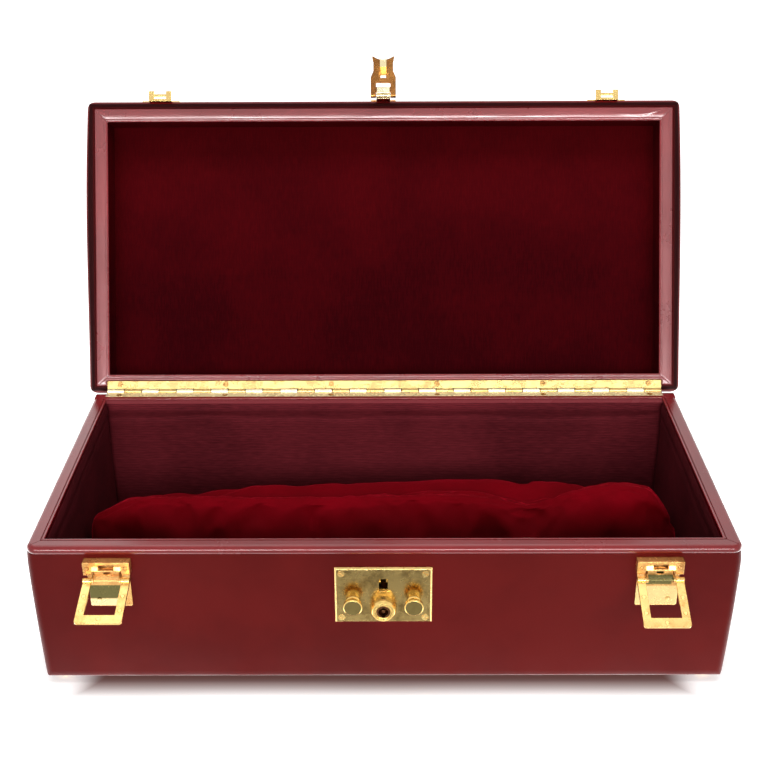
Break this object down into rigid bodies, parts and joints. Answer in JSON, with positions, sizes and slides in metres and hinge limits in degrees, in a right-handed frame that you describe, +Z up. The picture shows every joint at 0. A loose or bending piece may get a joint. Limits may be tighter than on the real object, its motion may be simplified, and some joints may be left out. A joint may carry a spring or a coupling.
{
  "type": "jewelry case",
  "caption": "Long leather-covered case with a hinged lid, piano hinge, push-button lock with hasp, two side latches and a velvet pad inside.",
  "frame": {"origin": "on the plane that the four feet stand on, in the middle of the case's width, half way between the front of the rim and the hinge line", "axes": "+X to the right along the case's length, +Y to the rear where the lid is hinged, +Z up"},
  "size_m": [0.3694, 0.3077, 0.2767],
  "materials": {
    "leather": "smooth polished maroon calf",
    "board": "plain board",
    "body_lining_cloth": "ribbed burgundy cloth",
    "lid_lining_cloth": "fine woven burgundy cloth",
    "velvet": "short pile velvet",
    "brass": "polished",
    "dull_brass": "polished, lightly tarnished"
  },
  "bodies": {
    "case": {"body_carcass": "board", "body_cover": "leather", "body_rim": "leather", "lining_floor": "body_lining_cloth", "lining_front": "body_lining_cloth", "lining_back": "body_lining_cloth", "lining_left": "body_lining_cloth", "lining_right": "body_lining_cloth", "velvet_pad": "velvet", "feet": "brass", "hinge_leaf_body": "brass", "hinge_pin": "brass", "hinge_screws_body": "brass", "lock_plate": "dull_brass", "lock_plate_screws": "brass", "lock_case": "dull_brass", "key_barrel": "brass", "button_collars": "brass", "latch_base_left": "brass", "latch_base_right": "brass", "latch_pin_left": "brass", "latch_pin_right": "brass", "latch_rivets": "brass"},
    "lid": {"lid_carcass": "board", "lid_cover": "leather", "lid_rim": "leather", "lid_lining_top": "lid_lining_cloth", "lid_lining_front": "lid_lining_cloth", "lid_lining_back": "lid_lining_cloth", "lid_lining_left": "lid_lining_cloth", "lid_lining_right": "lid_lining_cloth", "hinge_leaf_lid": "brass", "hinge_screws_lid": "brass", "keeper_left": "brass", "keeper_right": "brass", "keeper_rivets": "brass", "hasp_plate": "brass", "hasp_plate_rivets": "brass", "hasp_pin": "brass"},
    "hasp": {"hasp": "brass", "hasp_staple": "brass"},
    "latch_left": {"latch_frame_left": "brass", "frame_rivets_left": "brass"},
    "latch_right": {"latch_frame_right": "brass", "frame_rivets_right": "brass"},
    "button_left": {"button_left": "brass"},
    "button_right": {"button_right": "brass"},
    "catch_left": {"catch_left": "dull_brass"},
    "catch_right": {"catch_right": "dull_brass"},
    "key_plug": {"key_plug": "dull_brass"}
  },
  "joints": [
    {"name": "lid_hinge", "type": "hinge", "parent": "case", "child": "lid", "pos_m": [0, 0.088, 0.0862], "axis": [1, 0, 0], "range_deg": [0, 114.5]},
    {"name": "hasp_hinge", "type": "hinge", "parent": "lid", "child": "hasp", "pos_m": [0, 0.15972, 0.25418], "axis": [1, 0, 0], "range_deg": [0, 90]},
    {"name": "latch_left_hinge", "type": "hinge", "parent": "case", "child": "latch_left", "pos_m": [-0.139, -0.0937, 0.0701], "axis": [-1, 0, 0], "range_deg": [0, 105]},
    {"name": "latch_right_hinge", "type": "hinge", "parent": "case", "child": "latch_right", "pos_m": [0.139, -0.0937, 0.0701], "axis": [-1, 0, 0], "range_deg": [0, 114]},
    {"name": "button_left_slide", "type": "slide", "parent": "case", "child": "button_left", "axis": [0, 1, 0], "range_m": [0, 0.002], "stiffness_N_per_m": 400, "springref_m": -0.002},
    {"name": "button_right_slide", "type": "slide", "parent": "case", "child": "button_right", "axis": [0, 1, 0], "range_m": [0, 0.002], "stiffness_N_per_m": 400, "springref_m": -0.002},
    {"name": "catch_left_slide", "type": "slide", "parent": "case", "child": "catch_left", "axis": [-1, 0, 0], "range_m": [0, 0.0018]},
    {"name": "catch_right_slide", "type": "slide", "parent": "case", "child": "catch_right", "axis": [1, 0, 0], "range_m": [0, 0.0018]},
    {"name": "key_turn", "type": "hinge", "parent": "case", "child": "key_plug", "pos_m": [0, -0.09, 0.0512], "axis": [0, 1, 0], "range_deg": [0, 90]}
  ],
  "couplings": [
    {"joint": "catch_left_slide", "follows": "button_left_slide", "ratio": 0.9},
    {"joint": "catch_right_slide", "follows": "button_right_slide", "ratio": 0.9}
  ]
}
